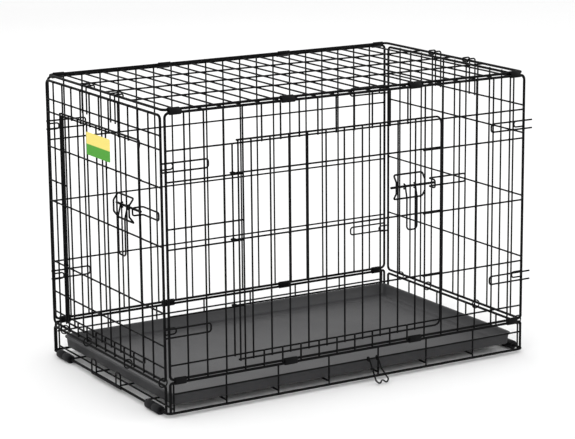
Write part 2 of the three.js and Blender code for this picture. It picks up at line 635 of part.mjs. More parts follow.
const RING_PLAY = 0.25;
const RING_Y = [-220, -84, 84, 184];     // the last one clears the back side as it folds in
function hingeRings() {
  const radius = END_RAIL_STEP / 2 + RAIL_R + RING_PLAY + RING / 2;
  for (const [end, s] of [['left', -1], ['right', 1]]) {
    RING_Y.forEach((y, i) => {
      const ring = new THREE.TorusGeometry(radius, RING / 2, 6, 12);
      ring.rotateX(Math.PI / 2);
      ring.translate(s * END_X, y, (END_FLANGE_Z + END_BOTTOM) / 2);
      piece(`hinge_ring_${end}_${i + 1}`, solid(ring), blackSpring);
    });
  }
}

// C hooks on the end posts, and the hooks that hold each end up to the top panel.
const HOOK_LOW = 89.6;           // lower corner hooks above the end rail
const HOOK_HIGH = 89.2;          // upper corner hooks below the top end rail
const HOOK_HALF = 5.5;
const HOOK_REACH = 20;
function cornerHooks() {
  for (const [end, sx] of [['left', -1], ['right', 1]]) {
    for (const [side, sy] of [['front', -1], ['back', 1]]) {
      const heights = [['low', END_BOTTOM + HOOK_LOW], ['high', END_TOP - HOOK_HIGH]];
      for (const [level, z] of heights) {
        const outer = END_X - RAIL_R - GAP;
        const places = [[outer, -HOOK_HALF], [outer - HOOK_REACH, -HOOK_HALF],
          [outer - HOOK_REACH, HOOK_HALF], [outer, HOOK_HALF]];
        const points = places.map(([x, rise]) => v(sx * x, sy * END_POST_Y, z + rise));
        piece(`corner_hook_${end}_${side}_${level}`, wire(rounded(points, 4), Y, SPRING), blackSpring);
      }
    }
  }
}

const TOP_HOOK_Y = 1.5 * END_PITCH;
const TOP_HOOK_HALF = 9;
const TOP_HOOK_PLAY = 0.5;       // above the top rim
const TOP_HOOK_CATCH = 3.3;      // and inside it
function topHooks() {
  for (const [f, end, crossZ] of [[left, 'left', HOOK_CROSS_Z], [right, 'right', RIGHT_HOOK_Z]]) {
    for (const [side, sy] of [['front', -1], ['back', 1]]) {
      const n = INNER + WIRE_R + GAP + SPRING / 2;
      const crest = TOP_Z + RAIL_R + TOP_HOOK_PLAY + SPRING / 2;
      const inner = -END_OUT - RAIL_R - TOP_HOOK_CATCH - SPRING / 2;
      const parts = [];
      for (const s of [-1, 1]) {
        const u = sy * TOP_HOOK_Y + s * TOP_HOOK_HALF;
        const leg = [f.place(u, n, crossZ - 4), f.place(u, n, crest), f.place(u, inner, crest),
          f.place(u, inner, TOP_Z - 2)];
        parts.push(wire(rounded(leg, 5), f.u, SPRING));
      }
      const tip = [-1, 1].map((s) => f.place(sy * TOP_HOOK_Y + s * (TOP_HOOK_HALF + 1), inner, TOP_Z - 1));
      parts.push(bar(tip[0], tip[1], f.n, SPRING));
      piece(`top_hook_${end}_${side}`, weld(parts), blackSpring);
    }
  }
}

// The retainer hangs by two loops on the front flange's middle wire and leans out to the ground as a W.
const RETAINER_A = 30;
const RETAINER_B = 49;
const RETAINER_REACH = 27;       // how far it leans out
function retainerClip() {
  const wireN = WIRE - SINK;
  const eye = WIRE_R + EYE_PLAY + SPRING / 2;
  const hang = front.place(0, wireN + eye, MID_FLANGE_Z);
  const lean = front.place(0, wireN + eye + RETAINER_REACH, SPRING / 2 + GAP).sub(hang);
  const at = (x, t) => hang.clone().addScaledVector(X, x).addScaledVector(lean, t);
  const outline = [[RETAINER_A, 0], [RETAINER_A, 0.84], [37, 1], [43.5, 0.76], [50, 1], [57, 0.84],
    [RETAINER_B, 0.4], [RETAINER_B, 0]];
  const normal = new THREE.Vector3().crossVectors(X, lean).normalize();
  const parts = [wire(rounded(outline.map(([x, t]) => at(x, t)), 3), normal, SPRING)];
  for (const x of [RETAINER_A, RETAINER_B]) {
    const points = loopAngles.map((a) =>
      front.place(x, wireN + eye * Math.cos(a), MID_FLANGE_Z + eye * Math.sin(a)));
    parts.push(wire(points, front.u, SPRING));
  }
  piece('retainer_clip', weld(parts), blackSpring);
}

floorFrame();
feet();
pan();
panStop();
backSide();
frontSide();
topPanel();
leftEnd();
rightEnd();
door('side_door', front, SIDE_DOOR);
door('end_door', left, END_DOOR);
latch('side', front, SIDE_LATCH);
latch('end', left, END_LATCH);
labelCard();
hingeClips();
hingeRings();
cornerHooks();
topHooks();
retainerClip();

export default crate;
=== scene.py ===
import math

import bmesh
import bpy
from mathutils import Matrix, Vector


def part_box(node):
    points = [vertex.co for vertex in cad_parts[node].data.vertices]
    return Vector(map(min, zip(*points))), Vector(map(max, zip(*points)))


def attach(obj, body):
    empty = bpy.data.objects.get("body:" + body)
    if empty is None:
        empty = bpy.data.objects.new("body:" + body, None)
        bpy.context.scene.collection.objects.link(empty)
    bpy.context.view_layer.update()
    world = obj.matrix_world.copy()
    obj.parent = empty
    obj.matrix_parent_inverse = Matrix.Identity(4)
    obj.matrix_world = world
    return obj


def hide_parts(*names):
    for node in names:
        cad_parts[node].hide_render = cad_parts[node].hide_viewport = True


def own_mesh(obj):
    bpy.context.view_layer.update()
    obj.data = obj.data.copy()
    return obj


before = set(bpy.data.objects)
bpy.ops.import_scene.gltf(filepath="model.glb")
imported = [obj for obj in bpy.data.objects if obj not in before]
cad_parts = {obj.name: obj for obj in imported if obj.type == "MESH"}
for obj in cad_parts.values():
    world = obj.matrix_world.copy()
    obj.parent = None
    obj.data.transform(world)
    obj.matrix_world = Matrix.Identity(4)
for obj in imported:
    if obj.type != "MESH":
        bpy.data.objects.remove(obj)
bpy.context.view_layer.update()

bl_info = {
    "name": "Wire Dog Crate",
    "version": (1, 0, 0),
    "blender": (4, 5, 0),
    "location": "View3D > Sidebar > Wire Crate",
    "description": "Round wires, welds, hinges, latches and pan of a folding dog crate",
    "category": "Object",
}

MM = 0.001


# ---- sizes, read off the frame where the frame has them ------------------------------------------

def span(node, axis):
    low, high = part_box(node)
    return low[axis], high[axis]


RAIL_R = 2.4 * MM
WIRE_R = 1.6 * MM
DOOR_RAIL_R = 1.8 * MM
SPRING_R = 1.5 * MM
RING_R = 1.25 * MM
SINK = 0.25 * MM                         # how deep welded wires sit in each other
GAP = 0.3 * MM                           # left between pieces that move past each other
BEND = 8 * MM
PITCH = 38.1 * MM
END_PITCH = 38.57 * MM
OUTER = RAIL_R + WIRE_R - SINK           # how far each layer lies from the rails: uprights,
INNER = OUTER - 2 * WIRE_R + SINK        # crosses
OVER = OUTER + 2 * WIRE_R - SINK         # and corner loops

FOOT_R = (span("foot_left_front", 2)[1] - span("foot_left_front", 2)[0]) / 2
FLOOR_LONG_Y = (50.5 * MM, 151.6 * MM)
FLOOR_CROSS_X = (53.2 * MM, 159.6 * MM, 266 * MM, 371 * MM)
FLOOR_POST_IN = 7 * MM
TOP_LONG_Y = 105 * MM
RING_Y = (-220 * MM, -84 * MM, 84 * MM, 184 * MM)
HALF_LENGTH = span("top_panel", 0)[1] - RAIL_R
TOP_Y = span("top_panel", 1)[1] - RAIL_R
TOP_Z = span("top_panel", 2)[1] - RAIL_R
TOP_STEP_IN = 6 * MM
TOP_STEP_UP = 4.8 * MM
SIDE_Y = TOP_Y + TOP_STEP_IN
SIDE_TOP = TOP_Z - TOP_STEP_UP
LONG_FLANGE_Z = 63.2 * MM
END_FLANGE_Z = 57.3 * MM
MID_FLANGE_Z = 43.7 * MM
SIDE_BOTTOM = LONG_FLANGE_Z + 6 * MM
SIDE_MID = (SIDE_BOTTOM + SIDE_TOP) / 2 - 2.8 * MM
END_STAND = 2 * RAIL_R + 0.5 * MM        # the ends stand this far outside the top's edge
END_X = HALF_LENGTH + END_STAND
END_POST_Y = SIDE_Y - 6.6 * MM
END_RAIL_STEP = 8.3 * MM
END_BOTTOM = END_FLANGE_Z + END_RAIL_STEP
END_TOP = TOP_Z - 8.6 * MM
END_MID = (END_BOTTOM + END_TOP) / 2
LAST = 9                                 # uprights are counted out from the middle to this one
END_LAST = 5
TRIM = RAIL_R - 0.2 * MM                 # how far a wire's end passes its rail's middle

LOOP_R = 2 * WIRE_R + 0.4 * MM
DOOR_N = OUTER + LOOP_R
DOOR_UP_N = DOOR_N + 2 * WIRE_R - SINK
DOOR_RAIL_N = OUTER + WIRE_R + GAP + 0.05 * MM + DOOR_RAIL_R
DOOR_POST_N = DOOR_RAIL_N + 2 * DOOR_RAIL_R - SINK
DOOR_FACE = DOOR_UP_N + WIRE_R
BOLT_R = 2.3 * MM
CAGE_R = 1.75 * MM
CAGE_N = DOOR_FACE + GAP + CAGE_R
BOLT_N = DOOR_POST_N + DOOR_RAIL_R + 0.2 * MM + BOLT_R
CAGE_BOW_N = BOLT_N + BOLT_R + 3.9 * MM + CAGE_R
EYE_R = BOLT_R + 0.4 * MM + WIRE_R
KEEPER_N = OUTER + 2 * WIRE_R + GAP
STAPLE_N = BOLT_N + 12.4 * MM
GRIP_N = STAPLE_N - 3 * MM

X = Vector((1, 0, 0))
Y = Vector((0, 1, 0))
Z = Vector((0, 0, 1))
CORNERS = ((-1, -1), (1, -1), (1, 1), (-1, 1))


class PanelFrame:
    """A panel's own directions: u across it, n outward, w up."""

    def __init__(self, u, n, origin):
        self.u, self.n, self.w, self.origin = u, n, Z, origin

    def at(self, u, n, w):
        return self.origin + self.u * u + self.n * n + self.w * w


FRONT = PanelFrame(X, -Y, -Y * SIDE_Y)
BACK = PanelFrame(X, Y, Y * SIDE_Y)
LEFT = PanelFrame(Y, -X, -X * END_X)
RIGHT = PanelFrame(Y, X, X * END_X)


# ---- sizes and colours a user would change ------------------------------------------------------

class CrateLook(bpy.types.PropertyGroup):
    """Colours of the crate and the fineness of its wires"""
    coat: bpy.props.FloatVectorProperty(
        name="Wire coat", description="Colour of the coating on every wire", subtype="COLOR",
        size=3, min=0, max=1, default=(0.0035, 0.0035, 0.0038))
    pan: bpy.props.FloatVectorProperty(
        name="Pan", description="Colour of the pan's plastic", subtype="COLOR",
        size=3, min=0, max=1, default=(0.042, 0.042, 0.044))
    card_top: bpy.props.FloatVectorProperty(
        name="Card top", description="Colour of the upper part of the card", subtype="COLOR",
        size=3, min=0, max=1, default=(0.86, 0.72, 0.20))
    card_foot: bpy.props.FloatVectorProperty(
        name="Card foot", description="Colour of the lower part of the card", subtype="COLOR",
        size=3, min=0, max=1, default=(0.085, 0.34, 0.045))
    sides: bpy.props.IntProperty(
        name="Wire facets", description="Number of facets around each wire", min=6, max=32, default=14)
    bead: bpy.props.FloatProperty(
        name="Weld bead", description="Radius of the bead at each weld", subtype="DISTANCE",
        unit="LENGTH", min=0, max=0.004, default=0.0019)


def look():
    return bpy.context.scene.crate_look


# ---- materials ----------------------------------------------------------------------------------

def new_group(name, inputs, outputs):
    group = bpy.data.node_groups.new(name, "ShaderNodeTree")
    for label, kind, value in inputs:
        socket = group.interface.new_socket(name=label, in_out="INPUT", socket_type=kind)
        socket.default_value = value
    for label, kind in outputs:
        group.interface.new_socket(name=label, in_out="OUTPUT", socket_type=kind)
    return group, group.nodes.new("NodeGroupInput"), group.nodes.new("NodeGroupOutput")


def coat_group():
    """Uneven coating: soft colour and gloss drift, with a fine ripple as height."""
    group, given, out = new_group(
        "coating",
        [("Color", "NodeSocketColor", (0, 0, 0, 1)), ("Lift", "NodeSocketFloat", 0.3),
         ("Roughness", "NodeSocketFloat", 0.4), ("Drift", "NodeSocketFloat", 0.1),
         ("Patch Scale", "NodeSocketFloat", 40.0), ("Grain Scale", "NodeSocketFloat", 900.0)],
        [("Color", "NodeSocketColor"), ("Roughness", "NodeSocketFloat"), ("Height", "NodeSocketFloat")])
    nodes, link = group.nodes, group.links.new
    place = nodes.new("ShaderNodeTexCoord")
    patch = nodes.new("ShaderNodeTexNoise")
    grain = nodes.new("ShaderNodeTexNoise")
    patch.inputs["Detail"].default_value = 3
    grain.inputs["Detail"].default_value = 2
    for noise, scale in ((patch, "Patch Scale"), (grain, "Grain Scale")):
        link(place.outputs["Object"], noise.inputs["Vector"])
        link(given.outputs[scale], noise.inputs["Scale"])
    lighter = nodes.new("ShaderNodeMixRGB")
    lighter.blend_type = "SCREEN"
    link(given.outputs["Color"], lighter.inputs["Color1"])
    lighter.inputs["Color2"].default_value = (0.012, 0.012, 0.0125, 1)
    amount = nodes.new("ShaderNodeMath")
    amount.operation = "MULTIPLY"
    link(patch.outputs["Fac"], amount.inputs[0])
    link(given.outputs["Lift"], amount.inputs[1])
    link(amount.outputs[0], lighter.inputs["Fac"])
    drift = nodes.new("ShaderNodeMath")
    drift.operation = "MULTIPLY_ADD"
    link(patch.outputs["Fac"], drift.inputs[0])
    link(given.outputs["Drift"], drift.inputs[1])
    link(given.outputs["Roughness"], drift.inputs[2])
    link(lighter.outputs["Color"], out.inputs["Color"])
    link(drift.outputs[0], out.inputs["Roughness"])
    link(grain.outputs["Fac"], out.inputs["Height"])
    return group


def coated(name, color, roughness, drift, lift, patch, grain, bump, shine):
    material = bpy.data.materials.new(name)
    material.use_nodes = True
    nodes, link = material.node_tree.nodes, material.node_tree.links.new
    shader = nodes["Principled BSDF"]
    shader.inputs["Specular IOR Level"].default_value = shine
    group = nodes.new("ShaderNodeGroup")
    group.node_tree = bpy.data.node_groups.get("coating") or coat_group()
    values = {"Color": (*color, 1), "Roughness": roughness, "Drift": drift, "Lift": lift,
              "Patch Scale": patch, "Grain Scale": grain}
    for key, value in values.items():
        group.inputs[key].default_value = value
    ripple = nodes.new("ShaderNodeBump")
    ripple.inputs["Distance"].default_value = bump
    ripple.inputs["Strength"].default_value = 0.6
    link(group.outputs["Color"], shader.inputs["Base Color"])
    link(group.outputs["Roughness"], shader.inputs["Roughness"])
    link(group.outputs["Height"], ripple.inputs["Height"])
    link(ripple.outputs["Normal"], shader.inputs["Normal"])
    return material


FOOT_COLOUR = (0.008, 0.008, 0.009)


def finish_of(name):
    """The named finish, made the first time it is asked for."""
    if name in bpy.data.materials:
        return bpy.data.materials[name]
    s = look()
    if name == "coated wire":
        return coated(name, s.coat, 0.42, 0.16, 0.08, 60, 1400, 0.00006, 0.05)
    if name == "coated spring wire":
        return coated(name, s.coat, 0.36, 0.16, 0.08, 90, 1800, 0.00004, 0.06)
    if name == "coated sheet":
        return coated(name, s.coat, 0.36, 0.2, 0.1, 120, 1500, 0.00005, 0.06)
    if name == "grained plastic":
        return coated(name, s.pan, 0.42, 0.18, 0.25, 9, 1500, 0.00018, 0.35)
    if name == "foot plastic":
        return coated(name, FOOT_COLOUR, 0.42, 0.2, 0.5, 80, 1200, 0.0001, 0.07)
    return card_material(name)


def card_material(name):
    """A plain card in two colours, with a soft edge between them and a fine paper grain."""
    material = coated(name, look().card_top, 0.42, 0.15, 0.0, 60, 2500, 0.00003, 0.04)
    nodes, link = material.node_tree.nodes, material.node_tree.links.new
    shader = nodes["Principled BSDF"]
    place = nodes.new("ShaderNodeTexCoord")
    split = nodes.new("ShaderNodeSeparateXYZ")
    link(place.outputs["Object"], split.inputs["Vector"])
    low, high = span("label_card", 2)
    edge = nodes.new("ShaderNodeMapRange")
    edge.inputs["From Min"].default_value = low + 0.47 * (high - low)
    edge.inputs["From Max"].default_value = low + 0.49 * (high - low)
    link(split.outputs["Z"], edge.inputs["Value"])
    mix = nodes.new("ShaderNodeMixRGB")
    mix.inputs["Color1"].default_value = (*look().card_foot, 1)
    link(edge.outputs["Result"], mix.inputs["Fac"])
    link(mix.outputs["Color"], shader.inputs["Base Color"])
    group = next(n for n in nodes if n.bl_idname == "ShaderNodeGroup")
    link(group.outputs["Color"], mix.inputs["Color2"])
    return material


# ---- node trees for wires, strips and weld beads ------------------------------------------------

def new_tree(name, inputs):
    tree = bpy.data.node_groups.new(name, "GeometryNodeTree")
    tree.interface.new_socket(name="Geometry", in_out="INPUT", socket_type="NodeSocketGeometry")
    for label, kind in inputs:
        tree.interface.new_socket(name=label, in_out="INPUT", socket_type=kind)
    tree.interface.new_socket(name="Geometry", in_out="OUTPUT", socket_type="NodeSocketGeometry")
    return tree, tree.nodes.new("NodeGroupInput"), tree.nodes.new("NodeGroupOutput")


def end_tree(tree, given, out, geometry):
    nodes, link = tree.nodes, tree.links.new
    realize = nodes.new("GeometryNodeRealizeInstances")
    shade = nodes.new("GeometryNodeSetShadeSmooth")
    paint = nodes.new("GeometryNodeSetMaterial")
    shade.inputs["Shade Smooth"].default_value = True
    link(geometry, realize.inputs["Geometry"])
    link(realize.outputs["Geometry"], shade.inputs["Geometry"])
    link(shade.outputs["Geometry"], paint.inputs["Geometry"])
    link(given.outputs["Material"], paint.inputs["Material"])
    link(paint.outputs["Geometry"], out.inputs["Geometry"])


def wire_tree():
    """A round wire swept along each line, its corners bent to a radius."""
    tree, given, out = new_tree("bent wire", [
        ("Radius", "NodeSocketFloat"), ("Bend", "NodeSocketFloat"), ("Facets", "NodeSocketInt"),
        ("Material", "NodeSocketMaterial")])
    nodes, link = tree.nodes, tree.links.new
    fillet = nodes.new("GeometryNodeFilletCurve")
    fillet.mode = "POLY"
    fillet.inputs["Count"].default_value = 5
    fillet.inputs["Limit Radius"].default_value = True
    link(given.outputs["Geometry"], fillet.inputs["Curve"])
    link(given.outputs["Bend"], fillet.inputs["Radius"])
    ring = nodes.new("GeometryNodeCurvePrimitiveCircle")
    link(given.outputs["Radius"], ring.inputs["Radius"])
    link(given.outputs["Facets"], ring.inputs["Resolution"])
    sweep = nodes.new("GeometryNodeCurveToMesh")
    sweep.inputs["Fill Caps"].default_value = True
    link(fillet.outputs["Curve"], sweep.inputs["Curve"])
    link(ring.outputs["Curve"], sweep.inputs["Profile Curve"])
    end_tree(tree, given, out, sweep.outputs["Mesh"])
    return tree


def bead_tree():
    """A low round bead at each weld."""
    tree, given, out = new_tree("weld beads", [
        ("Radius", "NodeSocketFloat"), ("Material", "NodeSocketMaterial")])
    nodes, link = tree.nodes, tree.links.new
    ball = nodes.new("GeometryNodeMeshUVSphere")
    ball.inputs["Segments"].default_value = 8
    ball.inputs["Rings"].default_value = 6
    link(given.outputs["Radius"], ball.inputs["Radius"])
    put = nodes.new("GeometryNodeInstanceOnPoints")
    size = nodes.new("FunctionNodeRandomValue")
    size.data_type = "FLOAT"
    size.inputs[2].default_value = 0.86
    size.inputs[3].default_value = 1.08
    size.inputs["Seed"].default_value = 4
    link(given.outputs["Geometry"], put.inputs["Points"])
    link(ball.outputs["Mesh"], put.inputs["Instance"])
    link(size.outputs[1], put.inputs["Scale"])
    end_tree(tree, given, out, put.outputs["Instances"])
    return tree


TREES = {"bent wire": wire_tree, "weld beads": bead_tree}


def grown(source, tree_name, values):
    """The mesh that a node tree makes from a curve or a point mesh."""
    tree = bpy.data.node_groups.get(tree_name) or TREES[tree_name]()
    carrier = bpy.data.objects.new("carrier", source)
    bpy.context.scene.collection.objects.link(carrier)
    modifier = carrier.modifiers.new("grow", "NODES")
    modifier.node_group = tree
    sockets = {s.name: s.identifier for s in tree.interface.items_tree if s.in_out == "INPUT"}
    for label, value in values.items():
        modifier[sockets[label]] = value
    bpy.context.view_layer.update()
    evaluated = carrier.evaluated_get(bpy.context.evaluated_depsgraph_get())
    mesh = bpy.data.meshes.new_from_object(evaluated)
    bpy.data.objects.remove(carrier)
    return mesh


def lines(paths, closed):
    curve = bpy.data.curves.new("lines", "CURVE")
    curve.dimensions = "3D"
    for path in paths:
        spline = curve.splines.new("POLY")
        spline.points.add(len(path) - 1)
        for point, place in zip(spline.points, path):
            point.co = (*place, 1)
        spline.use_cyclic_u = closed
    return curve


def wires(paths, radius, finish="coated wire", bend=0.0, closed=False):
    values = {"Radius": radius, "Bend": bend, "Facets": look().sides, "Material": finish_of(finish)}
    return grown(lines(paths, closed), "bent wire", values)


def beads(points):
    cloud = bpy.data.meshes.new("welds")
    cloud.from_pydata([tuple(p) for p in points], [], [])
    return grown(cloud, "weld beads", {"Radius": look().bead, "Material": finish_of("coated wire")})


def piece(name, body, finish, meshes, replaces):
    """One finished piece from one or more meshes, riding on its body."""
    merged = bmesh.new()
    for mesh in meshes:
        merged.from_mesh(mesh)
    data = bpy.data.meshes.new(name)
    merged.to_mesh(data)
    merged.free()
    data.materials.clear()
    data.materials.append(finish_of(finish))
    obj = bpy.data.objects.new(name, data)
    bpy.context.scene.collection.objects.link(obj)
    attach(obj, body)
    if replaces:
        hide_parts(*replaces)
    return obj


# ---- panels -------------------------------------------------------------------------------------

def rim(f, half, bottom, top):
    return [f.at(-half, 0, bottom), f.at(half, 0, bottom), f.at(half, 0, top), f.at(-half, 0, top)]


def upright(f, u, low, high, n=OUTER):
    return [f.at(u, n, low), f.at(u, n, high)]


def cross(f, w, low, high):
    return [f.at(low, INNER, w), f.at(high, INNER, w)]


def meetings(f, ups, acrosses, n):
    """The places where uprights (u, low, high) and crosses (w, low, high) touch."""
    return [f.at(u, n, w) for u, low, high in ups for w, left, right in acrosses
            if low - MM <= w <= high + MM and left - MM <= u <= right + MM]


CROSS_PITCH = 118.3 * MM
SHORT_CROSS = SIDE_MID + 35.9 * MM
SIDE_CROSSES = [SIDE_MID + k * CROSS_PITCH for k in (-1, 0, 1)]
SILL = SIDE_BOTTOM + 26 * MM
HEAD = SIDE_TOP - 64.8 * MM
DOOR_LEFT = -6 * PITCH
DOOR_RIGHT = 4 * PITCH
SIDE_HINGE = DOOR_LEFT - 21.2 * MM
LOOP_START = HALF_LENGTH - 79 * MM
LOOP_STEP = 15.5 * MM                    # between the two wires of a corner loop
LOOP_STUB = 14.1 * MM                    # how far the front loops pass the posts
LOOP_TOPS = (SIDE_TOP - 84.7 * MM, SIDE_BOTTOM + 93.6 * MM)
LOOP_WIRES = [w - d for w in LOOP_TOPS for d in (0, LOOP_STEP)]


def corner_loops(f, reach):
    paths = []
    for s in (-1, 1):
        for w in LOOP_TOPS:
            low = w - LOOP_STEP
            paths.append([f.at(s * reach, OVER, w), f.at(s * LOOP_START, OVER, w),
                          f.at(s * LOOP_START, OVER, low), f.at(s * reach, OVER, low)])
    return paths


def grille(name, body, f, half, bottom, top, ups, acrosses, node, extra=(), posts=()):
    """A welded panel: a bent rim, uprights outside it, crosses behind them, and beads where they meet."""
    fill = [upright(f, u, low, high) for u, low, high in ups]
    fill += [cross(f, w, low, high) for w, low, high in acrosses]
    spots = meetings(f, ups, acrosses, (OUTER + INNER) / 2)
    rails = [(bottom, -half, half), (top, -half, half)]
    spots += meetings(f, ups, rails, OUTER - WIRE_R)
    parts = [wires([rim(f, half, bottom, top)], RAIL_R, bend=BEND, closed=True), wires(fill, WIRE_R)]
    if extra:
        parts.append(wires(list(extra), WIRE_R, bend=5 * MM))
        spots += [f.at(u, (OUTER + OVER) / 2, w) for u, low, high in ups for w in posts
                  if abs(u) > LOOP_START and low < w < high]
    parts.append(beads(spots))
    return piece(name, body, "coated wire", parts, [node])


class CRATE_OT_sides(bpy.types.Operator):
    """Make the two long sides"""
    bl_idname = "crate.sides"
    bl_label = "Long sides"

    def execute(self, context):
        low, high = SIDE_BOTTOM - TRIM, SIDE_TOP + TRIM
        ups = [(k * PITCH, low, high) for k in range(-LAST, LAST + 1)]
        full = [(w, -HALF_LENGTH, HALF_LENGTH) for w in SIDE_CROSSES]
        grille("back_side_grille", "back_side", BACK, HALF_LENGTH, SIDE_BOTTOM, SIDE_TOP, ups, full,
               "back_side", corner_loops(BACK, HALF_LENGTH + RAIL_R), LOOP_WIRES)
        ups = []
        for k in range(-LAST, LAST + 1):
            if DOOR_LEFT + MM < k * PITCH < DOOR_RIGHT - MM:
                ups += [(k * PITCH, low, SILL + WIRE_R), (k * PITCH, HEAD - WIRE_R, high)]
            else:
                ups.append((k * PITCH, low, high))
        ups.append((SIDE_HINGE, SILL - WIRE_R, HEAD + WIRE_R))
        acrosses = [(w, -HALF_LENGTH, HALF_LENGTH) for w in (SILL, HEAD)]
        for w in SIDE_CROSSES:
            acrosses += [(w, -HALF_LENGTH, DOOR_LEFT + WIRE_R), (w, DOOR_RIGHT - WIRE_R, HALF_LENGTH)]
        acrosses.append((SHORT_CROSS, -HALF_LENGTH, DOOR_LEFT + WIRE_R))
        grille("front_side_grille", "front_side", FRONT, HALF_LENGTH, SIDE_BOTTOM, SIDE_TOP, ups, acrosses,
               "front_side", corner_loops(FRONT, HALF_LENGTH + LOOP_STUB), LOOP_WIRES)
        return {"FINISHED"}


END_DOOR_U = 4 * END_PITCH
END_SILL = END_BOTTOM + 24.4 * MM
END_HEAD = END_TOP - 59.2 * MM
HOOK_CROSS = END_TOP - 34.7 * MM
RIGHT_HOOK_CROSS = END_TOP - 55.2 * MM
END_HINGE = END_DOOR_U + 7.2 * MM
END_SHORT_CROSS = END_MID + 45.6 * MM
END_DOOR_CROSSES = [END_TOP - 125.2 * MM, END_MID + 5.6 * MM, END_BOTTOM + 122.9 * MM,
                    END_BOTTOM + 63.7 * MM]
RIGHT_CROSSES = [RIGHT_HOOK_CROSS, END_TOP - 107.6 * MM, END_MID + 6.6 * MM,
                 END_BOTTOM + 122.9 * MM]


class CRATE_OT_ends(bpy.types.Operator):
    """Make the two ends"""
    bl_idname = "crate.ends"
    bl_label = "Ends"

    def execute(self, context):
        low, high = END_BOTTOM - TRIM, END_TOP + TRIM
        ups = [(k * END_PITCH, low, high) for k in range(-END_LAST, END_LAST + 1)]
        full = [(w, -END_POST_Y, END_POST_Y) for w in RIGHT_CROSSES]
        grille("right_end_grille", "right_end", RIGHT, END_POST_Y, END_BOTTOM, END_TOP, ups, full,
               "right_end")
        ups = []
        for k in range(-END_LAST, END_LAST + 1):
            if abs(k) < 4:
                ups += [(k * END_PITCH, low, END_SILL + WIRE_R), (k * END_PITCH, END_HEAD - WIRE_R, high)]
            else:
                ups.append((k * END_PITCH, low, high))
        ups.append((END_HINGE, END_SILL - WIRE_R, END_HEAD + WIRE_R))
        acrosses = [(w, -END_POST_Y, END_POST_Y) for w in (END_SILL, END_HEAD, HOOK_CROSS)]
        for w in END_DOOR_CROSSES:
            acrosses += [(w, -END_POST_Y, -END_DOOR_U + WIRE_R), (w, END_DOOR_U - WIRE_R, END_POST_Y)]
        acrosses.append((END_SHORT_CROSS, END_DOOR_U - WIRE_R, END_POST_Y))
        grille("left_end_grille", "left_end", LEFT, END_POST_Y, END_BOTTOM, END_TOP, ups, acrosses,
               "left_end")
        return {"FINISHED"}


class CRATE_OT_top(bpy.types.Operator):
    """Make the top panel"""
    bl_idname = "crate.top"
    bl_label = "Top panel"

    def execute(self, context):
        edge = [Vector((sx * HALF_LENGTH, sy * TOP_Y, TOP_Z)) for sx, sy in CORNERS]
        across_z, along_z = TOP_Z - OUTER, TOP_Z - INNER
        across = [k * PITCH for k in range(-LAST, LAST + 1)]
        along = [-TOP_LONG_Y, 0, TOP_LONG_Y]
        fill = [[Vector((x, -TOP_Y - TRIM, across_z)), Vector((x, TOP_Y + TRIM, across_z))] for x in across]
        fill += [[Vector((-HALF_LENGTH, y, along_z)), Vector((HALF_LENGTH, y, along_z))] for y in along]
        spots = [Vector((x, y, (across_z + along_z) / 2)) for x in across for y in along]
        spots += [Vector((x, s * TOP_Y, across_z + WIRE_R)) for x in across for s in (-1, 1)]
        parts = [wires([edge], RAIL_R, bend=BEND, closed=True), wires(fill, WIRE_R), beads(spots)]
        piece("top_grille", "top", "coated wire", parts, ["top_panel"])
        return {"FINISHED"}


# ---- floor, feet and pan ------------------------------------------------------------------------

